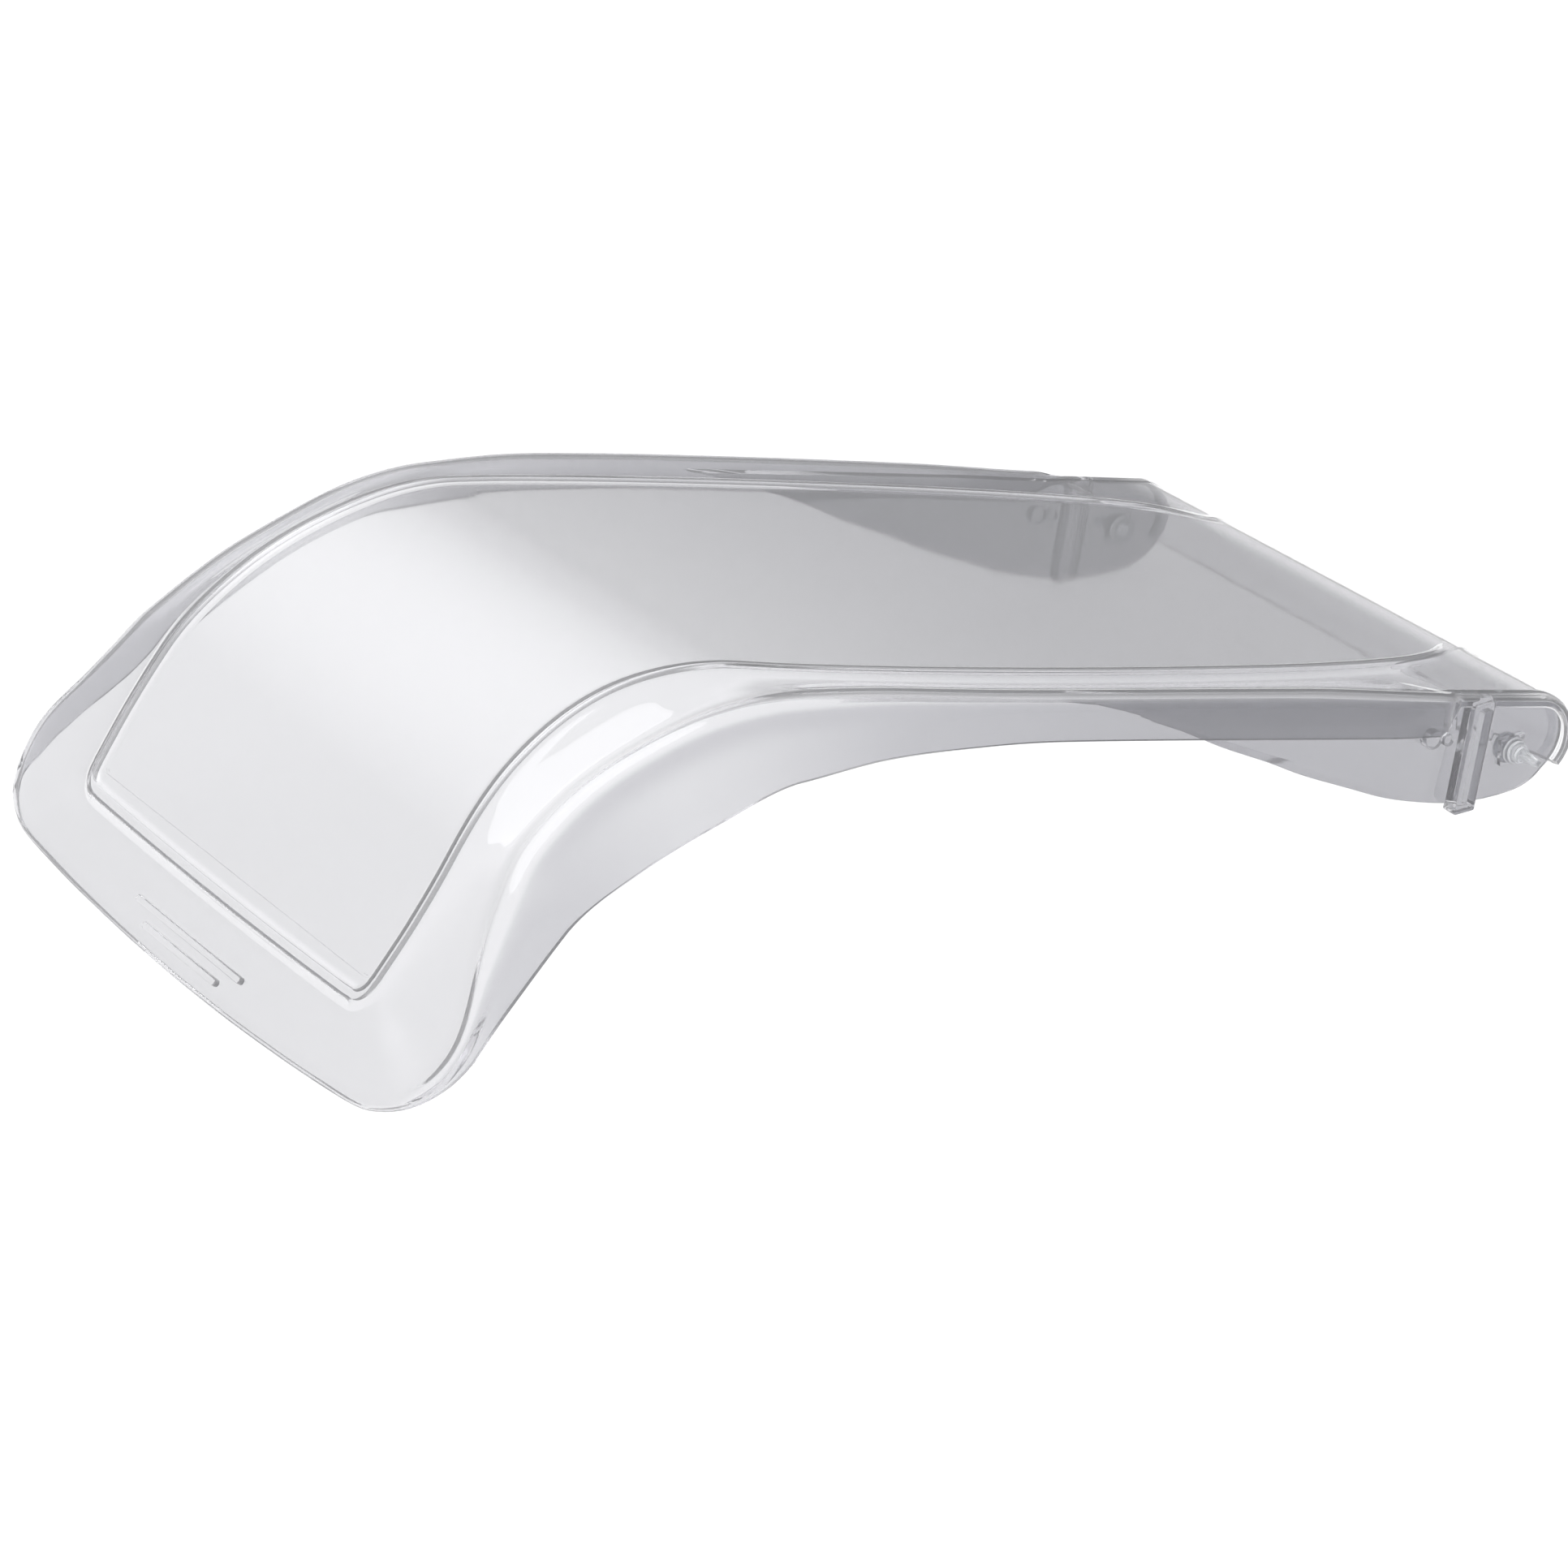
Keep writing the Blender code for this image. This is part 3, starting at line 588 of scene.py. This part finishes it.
def build_strap(side, root, face):
    """Leaning strap on a cheek's outer side, with one long fluted groove down it."""
    (y0, y1), (y2, y3) = STRAP_FOOT_Y, STRAP_TOP_Y
    lean = (y2 - y0) / STRAP_TOP_Z
    outline = rounded([(y0, 0.0), (y1, 0.0), (y3, STRAP_TOP_Z), (y2, STRAP_TOP_Z)], STRAP_CORNER)
    strap = finish_mesh(prism(outline, root, face + side * STRAP_DEPTH, 0.7), "strap")
    low, high = GROOVE_ENDS[0], STRAP_TOP_Z - GROOVE_ENDS[1]
    front, back = y0 + STRAP_GROOVE[0], y1 - STRAP_GROOVE[1]
    corners = [(front + lean * low, low), (back + lean * low, low),
               (back + lean * high, high), (front + lean * high, high)]
    bottom = face + side * GROOVE_FLOOR
    pocket = prism(rounded(corners, GROOVE_CORNER), bottom, face + side * (STRAP_DEPTH + 2), 0.0)
    radius, length = FLUTE
    flutes = []
    leaning = Matrix.Rotation(-math.atan(lean), 4, "X")
    for step in (-1, 0, 1):
        y = (front + back) / 2 + lean * FLUTE_Z + step * FLUTE_PITCH
        bm = bmesh.new()
        bmesh.ops.create_cone(bm, cap_ends=True, segments=16, radius1=radius * MM, radius2=radius * MM,
                              depth=length * MM,
                              matrix=Matrix.Translation(Vector((bottom, y, FLUTE_Z)) * MM) @ leaning)
        flutes.append(finish_mesh(bm, "flute"))
    cutter = combine(finish_mesh(pocket, "pocket"), flutes, "UNION", 35)
    return combine(strap, [cutter], "DIFFERENCE", 35)


def hinge_side(sheet, side):
    """One cheek with its strap, pivot pad and bosses, its bore cut."""
    face = side * (CHEEK_X + CHEEK_WALL / 2)
    root = side * (CHEEK_X + 0.5)
    cheek = finish_mesh(prism(cheek_outline(sheet), side * (CHEEK_X - CHEEK_WALL / 2), face, 0.5), "cheek")
    y, z = HINGE.y / MM, HINGE.z / MM
    half_y, half_z = PAD_HALF
    square = [(y + a * half_y, z + b * half_z) for a, b in ((-1, -1), (1, -1), (1, 1), (-1, 1))]
    pad = finish_mesh(prism(rounded(square, PAD_CORNER), root, face + side * PAD_RISE, 0.6), "pad")
    parts = [build_strap(side, root, face), pad]
    for boss_y, boss_z, radius in BOSS_PLACES:
        boss = peg((face + side * BOSS_MIDDLE, boss_y, boss_z), radius, BOSS_LENGTH, 40)
        round_rims(boss, 0.5)
        parts.append(finish_mesh(boss, "boss"))
    combine(cheek, parts, "UNION", 35)
    return combine(cheek, [finish_mesh(peg((face, y, z), BORE_RADIUS, 24, 64), "bore")], "DIFFERENCE", 35)


def grip_rib(sheet, half, s):
    """Low rounded bar across the lip, following the sheet."""
    bm = bmesh.new()
    bmesh.ops.create_circle(bm, cap_ends=True, segments=24, radius=GRIP_RIB_HALF)
    face = next(iter(bm.faces))
    grown = bmesh.ops.extrude_face_region(bm, geom=[face])
    top = [g for g in grown["geom"] if isinstance(g, bmesh.types.BMVert)]
    for vert in bm.verts:
        x = vert.co.x + math.copysign(half - GRIP_RIB_HALF, vert.co.x)
        vert.co = sheet.point(x, s + vert.co.y, GRIP_RIB_RISE if vert in top else -3.0)
    rims = [e for e in bm.edges if all(v in top for v in e.verts)]
    bmesh.ops.bevel(bm, geom=rims, offset=0.6 * MM, segments=3, profile=0.5, affect="EDGES", material=-1)
    return finish_mesh(bm, "rib")


def build_hood(sizes):
    """The whole moulding: sheet, rim, flange, lip ribs, cheeks, straps, pads, bosses and bores."""
    hood, sheet = hood_sheet(sizes)
    added = [hinge_side(sheet, side) for side in (1, -1)] + [grip_rib(sheet, *rib) for rib in GRIP_RIBS]
    return combine(hood, [joined(added)], "UNION", 40)


# ------------------------------------------------------------------ pins and rings


def build_pin(side, name):
    """Headed snap-in pin: head inside the cheek, barrel in the bore, ribbed collar and a cross-shaped tip."""
    inside = CHEEK_X - CHEEK_WALL / 2 - GAP
    ring_end = CHEEK_X + CHEEK_WALL / 2 + PAD_RISE + 2 * GAP + RING_WIDTH
    collar = ring_end + GAP
    head = [(inside - 2.6, 0.0), (inside - 2.6, PIN_HEAD_RADIUS - 0.6), (inside - 2.0, PIN_HEAD_RADIUS),
            (inside, PIN_HEAD_RADIUS)]
    barrel = [(inside, PIN_RADIUS), (collar, PIN_RADIUS)]
    wide_rib = [(collar, PIN_COLLAR_RADIUS - 0.3), (collar + 0.3, PIN_COLLAR_RADIUS),
                (collar + 1.2, PIN_COLLAR_RADIUS), (collar + 1.5, PIN_COLLAR_RADIUS - 0.3)]
    low_rib = [(collar + 1.5, PIN_RADIUS + 0.7), (collar + 3.0, PIN_RADIUS + 0.7),
               (collar + 3.3, PIN_RADIUS + 0.4), (collar + 3.3, PIN_RADIUS)]
    nose = [(ring_end + 4.7, PIN_RADIUS), (ring_end + 5.0, PIN_RADIUS - 0.3), (ring_end + 5.0, 0.0)]
    pin = spun(head + barrel + wide_rib + low_rib + nose, side, name)
    arms = []
    for turn in (0.0, math.pi / 2):
        bm = bmesh.new()
        bmesh.ops.create_cube(bm, size=1.0)
        for vert in bm.verts:
            far = vert.co.x > 0
            vert.co.x = PIN_TIP_X if far else ring_end + 4.0
            vert.co.y *= 3.2 if far else 6.2
            vert.co.z *= 1.4 if far else 1.8
        bmesh.ops.bevel(bm, geom=bm.edges[:], offset=0.35, segments=2, profile=0.5, affect="EDGES",
                        material=-1)
        bmesh.ops.scale(bm, verts=bm.verts, vec=(side * MM, MM, MM))
        bmesh.ops.rotate(bm, verts=bm.verts, matrix=Matrix.Rotation(turn, 3, "X"))
        bmesh.ops.translate(bm, verts=bm.verts, vec=(0, HINGE.y, HINGE.z))
        arms.append(finish_mesh(bm, "arm"))
    return combine(pin, arms, "UNION", 35)


def build_ring(side, name):
    """Flat nylon ring between the pad and the pin's collar, its rims rounded."""
    start = CHEEK_X + CHEEK_WALL / 2 + PAD_RISE + GAP
    end, bore = start + RING_WIDTH, PIN_RADIUS + GAP
    r = RING_ROUND
    steps = [(start + r, bore), (start, bore + r), (start, RING_RADIUS - r), (start + r, RING_RADIUS),
             (end - r, RING_RADIUS), (end, RING_RADIUS - r), (end, bore + r), (end - r, bore),
             (start + r, bore)]
    return spun(steps, side, name)


# ------------------------------------------------------------------ materials


def add(mat, kind, settings=None, **links):
    """Adds a shader node with its settings, and fills its inputs from values or from other sockets."""
    node = mat.node_tree.nodes.new(kind)
    for key, value in (settings or {}).items():
        setattr(node, key, value)
    for key, value in links.items():
        socket = node.inputs[int(key[1:])] if key[1:].isdigit() else node.inputs[key.replace("_", " ")]
        if isinstance(value, bpy.types.NodeSocket):
            mat.node_tree.links.new(value, socket)
        else:
            socket.default_value = value
    return node


def new_material(name):
    mat = bpy.data.materials.new(name)
    mat.use_nodes = True
    mat.node_tree.nodes.clear()
    return mat


def clear_plastic(name, tints, waviness_mm, roughness, clarity):
    """Clear plastic, injection moulded and polished: sharp highlights over a faintly wavy, greyish body, its
    grey painted darker towards the hinge and on side walls as painted shade.
    """
    mat = new_material(name)
    texture = add(mat, "ShaderNodeTexCoord")
    place = texture.outputs["Object"]
    # The faint waviness that a moulding keeps from its tool, as a swell about this many millimetres long.
    swell = add(mat, "ShaderNodeTexNoise", Vector=place, Scale=1000.0 / waviness_mm, Detail=1.0,
                Roughness=0.4)
    # Fine haze from handling and wiping, about 6 mm across, which only shifts how sharp the gloss is.
    haze = add(mat, "ShaderNodeTexNoise", Vector=place, Scale=160.0, Detail=3.0, Roughness=0.6)
    gloss = add(mat, "ShaderNodeMapRange", Value=haze.outputs["Fac"], From_Min=0.3, From_Max=0.7,
                To_Min=roughness * 0.7, To_Max=roughness * 1.5)
    bump = add(mat, "ShaderNodeBump", Height=swell.outputs["Fac"], Strength=0.25, Distance=0.0002)
    # Painted shade: the grey cast is painted darker from the lip to the hinge over about 300 mm, and turns
    # near white again over the roll.
    along = add(mat, "ShaderNodeSeparateXYZ", Vector=place).outputs["Y"]
    depth = add(mat, "ShaderNodeMapRange", {"interpolation_type": "SMOOTHSTEP"}, Value=along,
                From_Min=-0.22, From_Max=0.10)
    body = add(mat, "ShaderNodeMix", {"data_type": "RGBA"}, i0=depth.outputs["Result"], i6=linear(tints[0]),
               i7=linear(tints[1])).outputs[2]
    roll = add(mat, "ShaderNodeMapRange", {"interpolation_type": "SMOOTHSTEP"}, Value=along,
               From_Min=0.252, From_Max=0.272)
    cast_over_roll = add(mat, "ShaderNodeMix", {"data_type": "RGBA"}, i0=roll.outputs["Result"], i6=body,
               i7=linear(ROLL_TINT)).outputs[2]
    # Painted shade: walls that stand upright to the sides are painted darker than the sheet.
    turned = add(mat, "ShaderNodeSeparateXYZ", Vector=texture.outputs["Normal"]).outputs["X"]
    upright = add(mat, "ShaderNodeMath", {"operation": "ABSOLUTE"}, i0=turned)
    share = add(mat, "ShaderNodeMapRange", {"interpolation_type": "SMOOTHSTEP"},
                Value=upright.outputs["Value"], From_Min=0.6, From_Max=1.0)
    side_shaded = add(mat, "ShaderNodeMix", {"data_type": "RGBA", "blend_type": "MULTIPLY"}, i0=1.0, i6=body,
                i7=linear(SIDE_SHADE_TINT)).outputs[2]
    cast = add(mat, "ShaderNodeMix", {"data_type": "RGBA"}, i0=share.outputs["Result"], i6=cast_over_roll,
               i7=side_shaded).outputs[2]
    shader = add(mat, "ShaderNodeBsdfPrincipled", Base_Color=cast, IOR=1.585, Transmission_Weight=clarity,
                 Roughness=gloss.outputs["Result"], Normal=bump.outputs["Normal"])
    ray = add(mat, "ShaderNodeLightPath")
    see_through = add(mat, "ShaderNodeBsdfTransparent", Color=(0.97, 0.97, 0.97, 1.0))
    lamps = add(mat, "ShaderNodeMixShader", i0=ray.outputs["Is Shadow Ray"], i1=shader.outputs["BSDF"],
                i2=see_through.outputs["BSDF"])
    bounced = add(mat, "ShaderNodeMixShader", i0=ray.outputs["Is Diffuse Ray"], i1=lamps.outputs["Shader"],
                  i2=see_through.outputs["BSDF"])
    add(mat, "ShaderNodeOutputMaterial", Surface=bounced.outputs["Shader"])
    return mat


def dress(obj, mat, body, node):
    obj.data.materials.clear()
    obj.data.materials.append(mat)
    obj.data.name = obj.name
    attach(obj, body)
    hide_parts(node)


# ------------------------------------------------------------------ operators


class GUARD_OT_hood(bpy.types.Operator):
    """Build the clear moulded hood."""
    bl_idname = "guard.hood"
    bl_label = "Hood"

    def execute(self, context):
        scene = context.scene
        hood = build_hood(scene.guard_sizes)
        tints = (scene.guard_finishes.front_tint, scene.guard_finishes.rear_shaded_tint)
        dress(hood, clear_plastic("clear_polycarbonate_moulded", tints, 45.0, 0.03, 0.9),
              "guard", "guard_shell")
        return {"FINISHED"}


class GUARD_OT_pins(bpy.types.Operator):
    """Build the two headed hinge pins."""
    bl_idname = "guard.pins"
    bl_label = "Hinge pins"

    def execute(self, context):
        tint = context.scene.guard_finishes.pin_tint
        mat = clear_plastic("clear_pin_polycarbonate_moulded", (tint, tint), 12.0, 0.08, 0.85)
        for word, side in (("right", 1), ("left", -1)):
            pin = build_pin(side, "pin_" + word)
            dress(pin, mat, "hinge_pins", "hinge_pin_" + word)
        return {"FINISHED"}


class GUARD_OT_rings(bpy.types.Operator):
    """Build the two nylon rings on the pins."""
    bl_idname = "guard.rings"
    bl_label = "Pin rings"

    def execute(self, context):
        tint = context.scene.guard_finishes.ring_tint
        mat = clear_plastic("natural_nylon_moulded", (tint, tint), 8.0, 0.16, 0.7)
        for word, side in (("right", 1), ("left", -1)):
            dress(build_ring(side, "ring_" + word), mat, "hinge_pins", "pin_ring_" + word)
        return {"FINISHED"}


class GUARD_OT_stage(bpy.types.Operator):
    """Lay the pale floor, hang the soft lights and set up the camera."""
    bl_idname = "guard.stage"
    bl_label = "Stage"

    def execute(self, context):
        scene = context.scene
        bm = bmesh.new()
        bmesh.ops.create_grid(bm, x_segments=8, y_segments=8, size=12.0)
        bmesh.ops.translate(bm, verts=bm.verts, vec=(0, 0, -0.0005))
        mesh = bpy.data.meshes.new("floor")
        bm.to_mesh(mesh)
        bm.free()
        floor = bpy.data.objects.new("floor", mesh)
        scene.collection.objects.link(floor)
        mat = new_material("floor_paper_matt")
        place = add(mat, "ShaderNodeTexCoord").outputs["Object"]
        fibre = add(mat, "ShaderNodeTexNoise", Vector=place, Scale=900.0, Detail=2.0)
        bump = add(mat, "ShaderNodeBump", Height=fibre.outputs["Fac"], Strength=0.05, Distance=0.0001)
        shader = add(mat, "ShaderNodeBsdfPrincipled", Base_Color=linear(scene.guard_finishes.floor_colour),
                     Roughness=0.9, Specular_IOR_Level=0.0, Normal=bump.outputs["Normal"])
        add(mat, "ShaderNodeOutputMaterial", Surface=shader.outputs["BSDF"])
        mesh.materials.append(mat)
        self.light(scene)
        self.camera(scene)
        return {"FINISHED"}

    def light(self, scene):
        sun = bpy.data.lights.new("overhead", "SUN")
        sun.energy = 0.75
        sun.angle = math.radians(50)
        lamp = bpy.data.objects.new("overhead", sun)
        lamp.rotation_euler = (math.radians(12), math.radians(-18), 0)
        scene.collection.objects.link(lamp)
        world = bpy.data.worlds.new("studio")
        scene.world = world
        world.use_nodes = True
        world.node_tree.nodes.clear()
        place = add(world, "ShaderNodeTexCoord").outputs["Generated"]
        split = add(world, "ShaderNodeSeparateXYZ", Vector=place)
        ramp = add(world, "ShaderNodeValToRGB", Fac=split.outputs["Z"])
        for position, level in ROOM_LEVELS:
            stop = ramp.color_ramp.elements.new(position)
            stop.color = (level, level, level * 1.01, 1.0)
        ramp.color_ramp.elements.remove(ramp.color_ramp.elements[0])
        ramp.color_ramp.elements.remove(ramp.color_ramp.elements[-1])
        # A white wall stands on the +X side, and the room falls off behind the other side.
        wall = add(world, "ShaderNodeMapRange", {"interpolation_type": "SMOOTHSTEP"},
                   Value=split.outputs["X"], From_Min=-0.62, From_Max=-0.05)
        room = add(world, "ShaderNodeMix", {"data_type": "RGBA"}, i0=wall.outputs["Result"],
                   i6=ramp.outputs["Color"], i7=(1.08, 1.08, 1.09, 1.0))
        sky = add(world, "ShaderNodeBackground", Color=room.outputs[2], Strength=1.0)
        add(world, "ShaderNodeOutputWorld", Surface=sky.outputs["Background"])
        scene.view_settings.view_transform = "Standard"

    def camera(self, scene):
        data = bpy.data.cameras.new("camera")
        data.lens = CAMERA_LENS
        data.sensor_width = 36.0
        data.clip_end = 100.0
        cam = bpy.data.objects.new("camera", data)
        pan, tilt, roll = CAMERA_TURN
        cam.matrix_world = (Matrix.Translation(CAMERA_PLACE) @ Matrix.Rotation(pan, 4, "Z")
                            @ Matrix.Rotation(tilt, 4, "X") @ Matrix.Rotation(roll, 4, "Z"))
        scene.collection.objects.link(cam)
        scene.camera = cam


class GUARD_PT_panel(bpy.types.Panel):
    bl_idname = "GUARD_PT_panel"
    bl_label = "Sneeze guard"
    bl_space_type = "VIEW_3D"
    bl_region_type = "UI"
    bl_category = "Guard"

    def draw(self, context):
        for group in (context.scene.guard_sizes, context.scene.guard_finishes):
            for name in group.bl_rna.properties.keys():
                if name not in {"rna_type", "name"}:
                    self.layout.prop(group, name)
        for step in STEPS:
            self.layout.operator(step.bl_idname)


STEPS = (GUARD_OT_hood, GUARD_OT_pins, GUARD_OT_rings, GUARD_OT_stage)
CLASSES = (GuardSizes, GuardFinishes) + STEPS + (GUARD_PT_panel,)


def register():
    for cls in CLASSES:
        bpy.utils.register_class(cls)
    bpy.types.Scene.guard_sizes = bpy.props.PointerProperty(type=GuardSizes)
    bpy.types.Scene.guard_finishes = bpy.props.PointerProperty(type=GuardFinishes)


def unregister():
    del bpy.types.Scene.guard_finishes
    del bpy.types.Scene.guard_sizes
    for cls in reversed(CLASSES):
        bpy.utils.unregister_class(cls)


def main():
    register()
    bpy.ops.guard.hood()
    bpy.ops.guard.pins()
    bpy.ops.guard.rings()
    bpy.ops.guard.stage()


if __name__ == "__main__":
    main()
